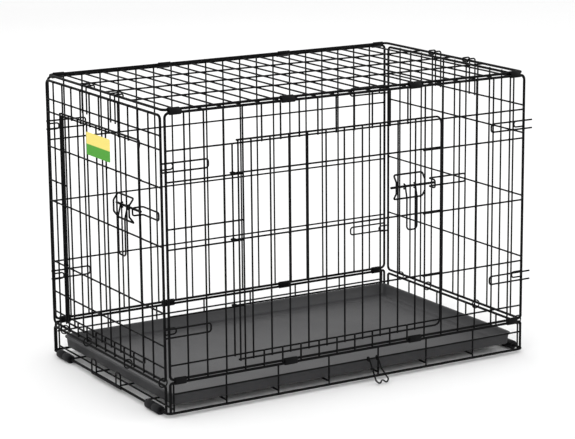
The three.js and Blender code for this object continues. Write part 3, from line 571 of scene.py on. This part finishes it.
class CRATE_OT_floor(bpy.types.Operator):
    """Make the wire floor with its flanges, and the sprung stop for the pan"""
    bl_idname = "crate.floor"
    bl_label = "Floor frame"

    def execute(self, context):
        low_z = FOOT_R + OUTER
        high_z = low_z + 2 * WIRE_R - SINK
        base = [Vector((sx * END_X, sy * SIDE_Y, FOOT_R)) for sx, sy in CORNERS]
        flanges, fill, spots = [], [], []
        for s in (-1, 1):
            y, x, post = s * SIDE_Y, s * END_X, SIDE_Y - FLOOR_POST_IN
            flanges.append([Vector(p) for p in ((-HALF_LENGTH, y, FOOT_R), (-HALF_LENGTH, y, LONG_FLANGE_Z),
                                                (HALF_LENGTH, y, LONG_FLANGE_Z), (HALF_LENGTH, y, FOOT_R))])
            flanges.append([Vector(p) for p in ((x, -post, FOOT_R), (x, -post, END_FLANGE_Z),
                                                (x, post, END_FLANGE_Z), (x, post, FOOT_R))])
            mid = y + s * (2 * WIRE_R - SINK)
            reach = FLOOR_CROSS_X[-1] + WIRE_R
            fill.append([Vector((-reach, mid, MID_FLANGE_Z)), Vector((reach, mid, MID_FLANGE_Z))])
            for fy in FLOOR_LONG_Y:
                fill.append([Vector((-END_X, s * fy, low_z)), Vector((END_X, s * fy, low_z)),
                             Vector((END_X, s * fy, END_FLANGE_Z))])
            for fx in FLOOR_CROSS_X:
                up = s * fx
                fill.append([Vector((up, -SIDE_Y, LONG_FLANGE_Z)), Vector((up, -SIDE_Y, high_z)),
                             Vector((up, SIDE_Y, high_z)), Vector((up, SIDE_Y, LONG_FLANGE_Z))])
                fill += [[Vector((up, t * SIDE_Y, FOOT_R)), Vector((up, t * SIDE_Y, high_z + 3 * MM))]
                         for t in (-1, 1)]
                spots += [Vector((up, t * fy, (low_z + high_z) / 2))
                          for fy in FLOOR_LONG_Y for t in (-1, 1)]
                spots += [Vector((up, t * (SIDE_Y + WIRE_R - SINK), MID_FLANGE_Z)) for t in (-1, 1)]
        parts = [wires([base], RAIL_R, bend=BEND, closed=True), wires(flanges, RAIL_R, bend=5 * MM),
                 wires(fill, WIRE_R, bend=3 * MM), beads(spots)]
        piece("floor_grille", "floor", "coated wire", parts, ["floor_frame"])
        stop_x = -END_X - RAIL_R - GAP - SPRING_R
        mid, half, top = FLOOR_LONG_Y[0], 9.5 * MM, 37 * MM
        rod = [Vector((stop_x, -mid - half, FOOT_R)), Vector((stop_x, mid + half, FOOT_R))]
        hairpin = ((-1, FOOT_R), (-1, top), (1, top), (1, FOOT_R))
        pins = [[Vector((stop_x, s * mid + t * half, z)) for t, z in hairpin] for s in (-1, 1)]
        parts = [wires([rod], SPRING_R, "coated spring wire"),
                 wires(pins, SPRING_R, "coated spring wire", bend=7 * MM)]
        stop = piece("pan_stop_spring", "floor", "coated spring wire", parts, ["pan_stop"])
        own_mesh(stop)
        return {"FINISHED"}


def skin(mesh, loops):
    """Faces between each loop of corners and the next."""
    for a, b in zip(loops, loops[1:]):
        for i in range(len(a)):
            j = (i + 1) % len(a)
            mesh.faces.new((a[i], a[j], b[j], b[i]))


def shell(mesh, name):
    """The finished mesh, its faces pointing outwards."""
    bmesh.ops.recalc_face_normals(mesh, faces=mesh.faces)
    data = bpy.data.meshes.new(name)
    mesh.to_mesh(data)
    mesh.free()
    return data


FULL_TURN = [2 * math.pi * i / 28 for i in range(28)]


def turned(profile, axis_at, axis_from):
    """A closed round solid: profile points (along, radius) turned about an axis along Y."""
    mesh = bmesh.new()
    rings = [[mesh.verts.new((axis_at[0] + radius * math.cos(a), axis_from + along,
                              axis_at[1] + radius * math.sin(a))) for a in FULL_TURN]
             for along, radius in profile]
    skin(mesh, rings + rings[:1])
    data = shell(mesh, "turned")
    data.polygons.foreach_set("use_smooth", [True] * len(data.polygons))
    return data


class CRATE_OT_feet(bpy.types.Operator):
    """Make the roller feet"""
    bl_idname = "crate.feet"
    bl_label = "Feet"

    def execute(self, context):
        nodes = [f"foot_{end}_{side}" for end in ("left", "right") for side in ("front", "back")]
        parts = []
        for node in nodes:
            (x0, y0, z0), (x1, y1, z1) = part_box(node)
            length, r, hole = y1 - y0, (z1 - z0) / 2, RAIL_R + GAP
            c = 1.2 * MM
            outer = [(0, hole), (0, r - c), (0.35 * c, r - 0.35 * c), (c, r)]
            groove = [(length / 2 - 2 * MM, r), (length / 2 - MM, r - 0.7 * MM),
                      (length / 2 + MM, r - 0.7 * MM), (length / 2 + 2 * MM, r)]
            end = [(length - c, r), (length - 0.35 * c, r - 0.35 * c), (length, r - c), (length, hole)]
            parts.append(turned(outer + groove + end, ((x0 + x1) / 2, (z0 + z1) / 2), y0))
        piece("roller_feet", "floor", "foot plastic", parts, nodes)
        return {"FINISHED"}


def rounded_outline(half_x, half_y, corner, steps=8):
    points = []
    for sx, sy, start in ((1, 1, 0), (-1, 1, 90), (-1, -1, 180), (1, -1, 270)):
        for i in range(steps + 1):
            a = math.radians(start + 90 * i / steps)
            points.append((sx * (half_x - corner) + corner * math.cos(a),
                           sy * (half_y - corner) + corner * math.sin(a)))
    return points


class CRATE_OT_pan(bpy.types.Operator):
    """Make the slide-out pan: a rolled rim, sloping walls and a shallow step round its floor"""
    bl_idname = "crate.pan"
    bl_label = "Pan"

    def execute(self, context):
        (x0, y0, z0), (x1, y1, z1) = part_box("pan")
        half_x, half_y = (x1 - x0) / 2, (y1 - y0) / 2
        profile = [(9, z0), (6.5, z0 + 0.4 * MM), (5, z0 + 2 * MM), (3.2, z1 - 5 * MM), (0.6, z1 - 4 * MM),
                   (0, z1 - 2.6 * MM), (0.5, z1 - 0.9 * MM), (1.8, z1), (3.6, z1 - 0.2 * MM),
                   (4.9, z1 - 1.4 * MM), (5.6, z1 - 4 * MM), (9.5, z0 + 5.5 * MM),
                   (12, z0 + 3.4 * MM), (15, z0 + 2.8 * MM),
                   (30, z0 + 2.8 * MM), (32, z0 + 2 * MM), (34, z0 + 1.8 * MM)]
        mesh = bmesh.new()
        rings = []
        for inset, z in profile:
            d = inset * MM
            outline = rounded_outline(half_x - d, half_y - d, max(14 * MM - d, 5 * MM))
            rings.append([mesh.verts.new((x, y, z)) for x, y in outline])
        skin(mesh, rings)
        mesh.faces.new(rings[0])
        mesh.faces.new(rings[-1])
        data = shell(mesh, "tray")
        data.polygons.foreach_set("use_smooth", [len(p.vertices) == 4 for p in data.polygons])
        piece("pan_tray", "pan", "grained plastic", [data], ["pan"])
        return {"FINISHED"}


# ---- doors, latches and the card ----------------------------------------------------------------

LOOP_TURNS = [math.radians(330) * i / 18 for i in range(19)]      # an open loop around a hinge wire


def hinged_cross(f, w, hinge, free):
    """A door cross that ends in a loop around the hinge wire."""
    way = 1 if free > hinge else -1
    return [f.at(free, DOOR_N, w)] + [
        f.at(hinge - way * LOOP_R * math.sin(a), OUTER + LOOP_R * math.cos(a), w) for a in LOOP_TURNS]


def door(name, node, body, f, hinge, edge, free, bottom, top, uprights, crosses):
    way = 1 if free > edge else -1
    low, high = bottom + DOOR_RAIL_R, top - DOOR_RAIL_R
    ends = (edge + way * DOOR_RAIL_R, free - way * DOOR_RAIL_R)
    turn = 14 * MM
    far = ends[1]
    bow = [f.at(edge, DOOR_RAIL_N, high), f.at(far - way * turn, DOOR_RAIL_N, high),
           f.at(far, DOOR_RAIL_N, high), f.at(far, DOOR_POST_N, high - turn),
           f.at(far, DOOR_POST_N, low + turn), f.at(far, DOOR_RAIL_N, low),
           f.at(far - way * turn, DOOR_RAIL_N, low), f.at(edge, DOOR_RAIL_N, low)]
    fill = [upright(f, u, bottom + 0.4 * MM, top - 0.4 * MM, DOOR_UP_N) for u in uprights]
    fill.append(upright(f, ends[0], bottom, top, DOOR_POST_N - DOOR_RAIL_R + WIRE_R))
    loops = [hinged_cross(f, w, hinge, free - way * DOOR_RAIL_R) for w in crosses]
    spots = [f.at(u, (DOOR_N + DOOR_UP_N) / 2, w) for u in uprights for w in crosses]
    spots += [f.at(u, DOOR_UP_N - WIRE_R, w) for u in (*uprights, ends[0]) for w in (low, high)]
    parts = [wires([bow], DOOR_RAIL_R, bend=9 * MM), wires(fill, WIRE_R), wires(loops, WIRE_R),
             beads(spots)]
    return piece(name, body, "coated wire", parts, [node])


class CRATE_OT_doors(bpy.types.Operator):
    """Make the two doors"""
    bl_idname = "crate.doors"
    bl_label = "Doors"

    def execute(self, context):
        door("side_door_grille", "side_door", "side_door", FRONT, SIDE_HINGE, SIDE_HINGE + 5.9 * MM,
             DOOR_RIGHT + 32.2 * MM, SILL - 9.2 * MM, HEAD + 8.8 * MM,
             [(k + 1 / 3) * PITCH for k in range(-6, 4)], [w + 4 * MM for w in SIDE_CROSSES])
        door("end_door_grille", "end_door", "end_door", LEFT, END_HINGE, END_HINGE - 7.9 * MM,
             -END_DOOR_U - 16.7 * MM, END_SILL - 8 * MM, END_HEAD + 9 * MM,
             [k * END_PITCH for k in range(-3, 4)], [w + 4 * MM for w in END_DOOR_CROSSES])
        return {"FINISHED"}


def side_latch():
    return {"name": "side", "f": FRONT, "cage": (DOOR_RIGHT - 75.4 * MM, DOOR_RIGHT - 13.4 * MM),
            "cage_w": (SIDE_MID + 37.7 * MM, SIDE_MID + 82.7 * MM), "bolt_w": SIDE_MID + 59.9 * MM,
            "bolt": (DOOR_RIGHT - 82 * MM, DOOR_RIGHT + 13.6 * MM),
            "eyes": (DOOR_RIGHT - 53.4 * MM, DOOR_RIGHT - 31.4 * MM), "grip_w": SIDE_MID - 19.3 * MM,
            "staple": DOOR_RIGHT + 6 * MM, "half": 7.4 * MM, "end": DOOR_RIGHT + 2 * PITCH + 11 * MM,
            "panel": "front_side"}


def end_latch():
    return {"name": "end", "f": LEFT, "cage": (-END_DOOR_U + 64.1 * MM, -END_DOOR_U + 3.1 * MM),
            "cage_w": (END_MID + 34.6 * MM, END_MID + 78.6 * MM), "bolt_w": END_MID + 60.6 * MM,
            "bolt": (-END_DOOR_U + 68.1 * MM, -END_DOOR_U - 26.9 * MM),
            "eyes": (-END_DOOR_U + 44.1 * MM, -END_DOOR_U + 17.8 * MM), "grip_w": END_MID - 26.4 * MM,
            "staple": -END_DOOR_U - 18.8 * MM, "half": 7 * MM, "end": -END_POST_Y - 2 * MM,
            "panel": "left_end"}


def cage(latch):
    f = latch["f"]
    (a, b), (low, high) = latch["cage"], latch["cage_w"]
    shoulder = (high - low) * 0.27
    rise = (low, low + shoulder, high - shoulder, high)
    path = []
    for u, heights in ((a, rise), (b, rise[::-1])):
        for w, n in zip(heights, (CAGE_N, CAGE_BOW_N, CAGE_BOW_N, CAGE_N)):
            path.append(f.at(u, n, w))
    name = latch["name"]
    piece(f"{name}_latch_cage", f"{name}_door", "coated wire",
          [wires([path], CAGE_R, bend=4 * MM, closed=True)], [f"{name}_bolt_cage"])


def bolt(latch):
    f, name = latch["f"], latch["name"]
    a, b = latch["bolt"]
    way = 1 if b > a else -1
    rod = wires([[f.at(a, BOLT_N, latch["bolt_w"]), f.at(b - way * MM, BOLT_N, latch["bolt_w"])]], BOLT_R,
                "coated spring wire")
    tip = wires([[f.at(b - way * 1.2 * MM, BOLT_N, latch["bolt_w"]), f.at(b, BOLT_N, latch["bolt_w"])]],
                BOLT_R * 0.8, "coated spring wire")
    piece(f"{name}_latch_rod", f"{name}_bolt", "coated spring wire", [rod, tip],
          [f"{name}_bolt"])


def handle(latch):
    f, name, w = latch["f"], latch["name"], latch["bolt_w"]
    a, b = latch["eyes"]
    arc = [math.radians(-100 + 200 * i / 14) for i in range(15)]
    eyes = [[f.at(u, BOLT_N + EYE_R * math.cos(t), w + EYE_R * math.sin(t)) for t in arc]
            for u in (a, b)]
    grip, knee = latch["grip_w"], w - 20 * MM
    bow = [f.at(a, BOLT_N + EYE_R, w), f.at(a, GRIP_N, knee), f.at(a, GRIP_N, grip),
           f.at(b, GRIP_N, grip), f.at(b, GRIP_N, knee), f.at(b, BOLT_N + EYE_R, w)]
    piece(f"{name}_latch_handle", f"{name}_handle", "coated wire",
          [wires(eyes, WIRE_R), wires([bow], WIRE_R, bend=7 * MM)], [f"{name}_bolt_handle"])


def keeper(latch):
    f, name, w, half = latch["f"], latch["name"], latch["bolt_w"], latch["half"]
    end, staple = latch["end"], latch["staple"]
    path = []
    for s in (1, -1):
        run = [f.at(end, KEEPER_N, w + s * half), f.at(staple, KEEPER_N, w + s * half),
               f.at(staple, STAPLE_N, w + s * half)]
        path += run if s > 0 else run[::-1]
    piece(f"{name}_latch_keeper", latch["panel"], "coated wire",
          [wires([path], WIRE_R, bend=4 * MM, closed=True)], [f"{name}_keeper"])


class CRATE_OT_latches(bpy.types.Operator):
    """Make the slide bolt latches"""
    bl_idname = "crate.latches"
    bl_label = "Latches"

    def execute(self, context):
        for latch in (side_latch(), end_latch()):
            cage(latch)
            bolt(latch)
            handle(latch)
            keeper(latch)
        return {"FINISHED"}


class CRATE_OT_card(bpy.types.Operator):
    """Make the plain card on the end door, with rounded corners"""
    bl_idname = "crate.card"
    bl_label = "Card"

    def execute(self, context):
        (x0, y0, z0), (_, y1, z1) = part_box("label_card")
        mid_y, mid_z = (y0 + y1) / 2, (z0 + z1) / 2
        outline = rounded_outline((y1 - y0) / 2, (z1 - z0) / 2, 3 * MM, 5)
        mesh = bmesh.new()
        front = [mesh.verts.new((x0, mid_y + a, mid_z + b)) for a, b in outline]
        rear = [mesh.verts.new((x0 + 0.6 * MM, mid_y + a, mid_z + b)) for a, b in outline]
        mesh.faces.new(front)
        mesh.faces.new(rear[::-1])
        for i in range(len(front)):
            j = (i + 1) % len(front)
            mesh.faces.new((front[i], rear[i], rear[j], front[j]))
        data = shell(mesh, "card")
        piece("door_card", "end_door", "two-tone card", [data], ["label_card"])
        return {"FINISHED"}


# ---- clips, rings and hooks ---------------------------------------------------------------------

def sleeve(x, length, a, b):
    """A sheet sleeve bent round two rails at a and b, given as (y, z)."""
    wall, inside = 1 * MM, RAIL_R + 0.4 * MM
    along = Vector((b[0] - a[0], b[1] - a[1]))
    side = Vector((-along.y, along.x)).normalized()
    middle = Vector(((a[0] + b[0]) / 2, (a[1] + b[1]) / 2))
    direction = along.normalized()
    ring = []
    for s in (1, -1):
        for i in range(9):
            t = math.radians(-90 + 180 * i / 8)
            ring.append(direction * s * (along.length / 2 + math.cos(t)) + side * s * math.sin(t))
    centres = [direction * s * (along.length / 2) for s in (1, -1) for i in range(9)]
    mesh = bmesh.new()
    soft = 0.3 * MM
    half = length / 2
    section = [(-half + soft, inside), (half - soft, inside), (half, inside + soft),
               (half, inside + wall - soft), (half - soft, inside + wall),
               (-half + soft, inside + wall), (-half, inside + wall - soft), (-half, inside + soft)]
    loops = []
    for point, centre in zip(ring, centres):
        out = (point - centre).normalized()
        loop = []
        for dx, r in section:
            p = middle + centre + out * r
            loop.append(mesh.verts.new((x + dx, p.x, p.y)))
        loops.append(loop)
    skin(mesh, loops + loops[:1])
    data = shell(mesh, "sleeve")
    data.polygons.foreach_set("use_smooth", [True] * len(data.polygons))
    return data


# which end of the crate, how far in from its corner, and how long
CLIPS = ((-1, 20 * MM, 22 * MM), (-1, 243.5 * MM, 26 * MM), (1, 243.5 * MM, 26 * MM),
         (1, 20 * MM, 22 * MM))


class CRATE_OT_clips(bpy.types.Operator):
    """Make the sheet hinge clips along the long sides"""
    bl_idname = "crate.clips"
    bl_label = "Hinge clips"

    def execute(self, context):
        top_parts, top_nodes = [], []
        for side, s in (("front", -1), ("back", 1)):
            foot_parts, foot_nodes = [], []
            for i, (sx, inset, length) in enumerate(CLIPS, 1):
                x = sx * (HALF_LENGTH - inset)
                foot_parts.append(sleeve(x, length, (s * SIDE_Y, LONG_FLANGE_Z), (s * SIDE_Y, SIDE_BOTTOM)))
                top_parts.append(sleeve(x, length, (s * SIDE_Y, SIDE_TOP), (s * TOP_Y, TOP_Z)))
                foot_nodes.append(f"bottom_clip_{side}_{i}")
                top_nodes.append(f"top_clip_{side}_{i}")
            piece(f"{side}_foot_clips", f"{side}_side", "coated sheet", foot_parts,
                  foot_nodes)
        piece("top_edge_clips", "top", "coated sheet", top_parts, top_nodes)
        return {"FINISHED"}


class CRATE_OT_rings(bpy.types.Operator):
    """Make the wire rings that hinge the ends"""
    bl_idname = "crate.rings"
    bl_label = "Hinge rings"

    def execute(self, context):
        radius = END_RAIL_STEP / 2 + RAIL_R + 0.25 * MM + RING_R
        middle = (END_FLANGE_Z + END_BOTTOM) / 2
        for end, s in (("left", -1), ("right", 1)):
            paths = [[Vector((s * END_X + radius * math.cos(t), y, middle + radius * math.sin(t)))
                      for t in FULL_TURN] for y in RING_Y]
            piece(f"{end}_hinge_rings", f"{end}_end", "coated spring wire",
                  [wires(paths, RING_R, "coated spring wire", closed=True)],
                  [f"hinge_ring_{end}_{i}" for i in range(1, 5)])
        return {"FINISHED"}


HOOK_LEVELS = (("low", END_BOTTOM + 89.6 * MM), ("high", END_TOP - 89.2 * MM))
HOOK_HALF = 5.5 * MM
HOOK_REACH = 20 * MM
TOP_HOOK_HALF = 9 * MM
TOP_HOOK_FOOT = 4 * MM                   # below the cross it hangs on
TOP_HOOK_TIP = TOP_Z - 1.5 * MM


class CRATE_OT_hooks(bpy.types.Operator):
    """Make the sprung hooks on the ends, and the retainer on the front flange"""
    bl_idname = "crate.hooks"
    bl_label = "Hooks"

    def execute(self, context):
        for end, f, sx, hang in (("left", LEFT, -1, HOOK_CROSS), ("right", RIGHT, 1, RIGHT_HOOK_CROSS)):
            corner, nodes = [], []
            outer = END_X - RAIL_R - GAP
            for side, sy in (("front", -1), ("back", 1)):
                y = sy * END_POST_Y
                for level, z in HOOK_LEVELS:
                    corner.append([Vector((sx * (outer - d), y, z + t * HOOK_HALF))
                                   for d, t in ((0, -1), (HOOK_REACH, -1), (HOOK_REACH, 1), (0, 1))])
                    nodes.append(f"corner_hook_{end}_{side}_{level}")
            hooks = piece(f"{end}_corner_hooks", f"{end}_end", "coated spring wire",
                          [wires(corner, SPRING_R, "coated spring wire", bend=5 * MM)], nodes)
            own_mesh(hooks)
            n = INNER + WIRE_R + GAP + SPRING_R
            crest = TOP_Z + RAIL_R + GAP + SPRING_R + 0.2 * MM
            inner = -END_STAND - RAIL_R - GAP - SPRING_R - 3 * MM
            hooks = []
            for sy in (-1, 1):
                u = sy * 1.5 * END_PITCH
                a, b = u - TOP_HOOK_HALF, u + TOP_HOOK_HALF
                half = [(n, hang - TOP_HOOK_FOOT), (n, crest), (inner, crest), (inner, TOP_HOOK_TIP)]
                hooks.append([f.at(a, d, w) for d, w in half] + [f.at(b, d, w) for d, w in half[::-1]])
            piece(f"{end}_top_hooks", f"{end}_end", "coated spring wire",
                  [wires(hooks, SPRING_R, "coated spring wire", bend=4 * MM)],
                  [f"top_hook_{end}_{side}" for side in ("front", "back")])
        self.retainer()
        return {"FINISHED"}

    def retainer(self):
        n = 2 * WIRE_R - SINK
        eye = WIRE_R + 0.4 * MM + SPRING_R
        hang = FRONT.at(0, n + eye, MID_FLANGE_Z)
        lean = FRONT.at(0, n + eye + 27 * MM, SPRING_R + GAP) - hang
        left, right = 30, 49
        outline = ((left, 0), (left, 0.84), (37, 1), (43.5, 0.76), (50, 1), (57, 0.84), (right, 0.4),
                   (right, 0))
        path = [hang + X * x * MM + lean * t for x, t in outline]
        eyes = [[FRONT.at(x * MM, n + eye * math.cos(t), MID_FLANGE_Z + eye * math.sin(t))
                 for t in LOOP_TURNS] for x in (left, right)]
        parts = [wires([path], SPRING_R, "coated spring wire", bend=4 * MM),
                 wires(eyes, SPRING_R, "coated spring wire")]
        piece("flange_retainer", "retainer", "coated spring wire", parts, ["retainer_clip"])


# ---- stage --------------------------------------------------------------------------------------

class CRATE_OT_stage(bpy.types.Operator):
    """Make the pale floor, the soft lights and the camera"""
    bl_idname = "crate.stage"
    bl_label = "Stage"

    def execute(self, context):
        self.floor()
        self.light("key", (-2.2, -2.6, 3.2), 40)
        self.light("fill", (2.8, -2.2, 1.9), 20)
        self.light("rim", (0.5, 3.2, 2.6), 20)
        world = bpy.data.worlds.new("studio")
        world.use_nodes = True
        world.node_tree.nodes["Background"].inputs["Color"].default_value = (1, 1, 1, 1)
        world.node_tree.nodes["Background"].inputs["Strength"].default_value = 1.02
        context.scene.world = world
        context.scene.view_settings.view_transform = "Standard"
        self.camera(context)
        return {"FINISHED"}

    def floor(self):
        mesh = bpy.data.meshes.new("studio_floor")
        mesh.from_pydata([(-9, -9, 0), (9, -9, 0), (9, 9, 0), (-9, 9, 0)], [], [(0, 1, 2, 3)])
        floor = bpy.data.objects.new("studio_floor", mesh)
        bpy.context.scene.collection.objects.link(floor)
        paper = bpy.data.materials.new("studio paper")
        paper.use_nodes = True
        shader = paper.node_tree.nodes["Principled BSDF"]
        shader.inputs["Base Color"].default_value = (0.93, 0.93, 0.93, 1)
        shader.inputs["Roughness"].default_value = 0.9
        shader.inputs["Specular IOR Level"].default_value = 0.1
        mesh.materials.append(paper)

    def light(self, name, place, power):
        data = bpy.data.lights.new(name, "AREA")
        data.size = 3
        data.energy = power
        lamp = bpy.data.objects.new(name, data)
        bpy.context.scene.collection.objects.link(lamp)
        aim = Vector((0, 0, 0.25)) - Vector(place)
        lamp.matrix_world = Matrix.Translation(place) @ aim.to_track_quat("-Z", "Y").to_matrix().to_4x4()

    def camera(self, context):
        azimuth, elevation, roll = math.radians(-120.62), math.radians(12.82), math.radians(-0.51)
        target, distance = Vector((-0.0234, -0.0435, 0.275)), 3.977
        away = Vector((math.cos(elevation) * math.cos(azimuth), math.cos(elevation) * math.sin(azimuth),
                       math.sin(elevation)))
        data = bpy.data.cameras.new("camera")
        data.sensor_width = 36
        data.lens = 132.9
        data.clip_end = 50
        cam = bpy.data.objects.new("camera", data)
        bpy.context.scene.collection.objects.link(cam)
        turn = (-away).to_track_quat("-Z", "Y").to_matrix().to_4x4()
        place = Matrix.Translation(target + away * distance)
        cam.matrix_world = place @ turn @ Matrix.Rotation(roll, 4, "Z")
        context.scene.camera = cam


class CRATE_PT_panel(bpy.types.Panel):
    bl_label = "Wire Crate"
    bl_idname = "CRATE_PT_panel"
    bl_space_type = "VIEW_3D"
    bl_region_type = "UI"
    bl_category = "Wire Crate"

    def draw(self, context):
        for field in ("coat", "pan", "card_top", "card_foot", "sides", "bead"):
            self.layout.prop(context.scene.crate_look, field)
        for operator in OPERATORS:
            self.layout.operator(operator.bl_idname)


OPERATORS = (CRATE_OT_stage, CRATE_OT_floor, CRATE_OT_feet, CRATE_OT_pan, CRATE_OT_sides, CRATE_OT_ends,
             CRATE_OT_top, CRATE_OT_doors, CRATE_OT_latches, CRATE_OT_card, CRATE_OT_clips, CRATE_OT_rings,
             CRATE_OT_hooks)
CLASSES = (CrateLook, *OPERATORS, CRATE_PT_panel)


def register():
    for cls in CLASSES:
        bpy.utils.register_class(cls)
    bpy.types.Scene.crate_look = bpy.props.PointerProperty(type=CrateLook)


def unregister():
    del bpy.types.Scene.crate_look
    for cls in reversed(CLASSES):
        bpy.utils.unregister_class(cls)


def main():
    register()
    bpy.ops.crate.stage()
    bpy.ops.crate.floor()
    bpy.ops.crate.feet()
    bpy.ops.crate.pan()
    bpy.ops.crate.sides()
    bpy.ops.crate.ends()
    bpy.ops.crate.top()
    bpy.ops.crate.doors()
    bpy.ops.crate.latches()
    bpy.ops.crate.card()
    bpy.ops.crate.clips()
    bpy.ops.crate.rings()
    bpy.ops.crate.hooks()


if __name__ == "__main__":
    main()
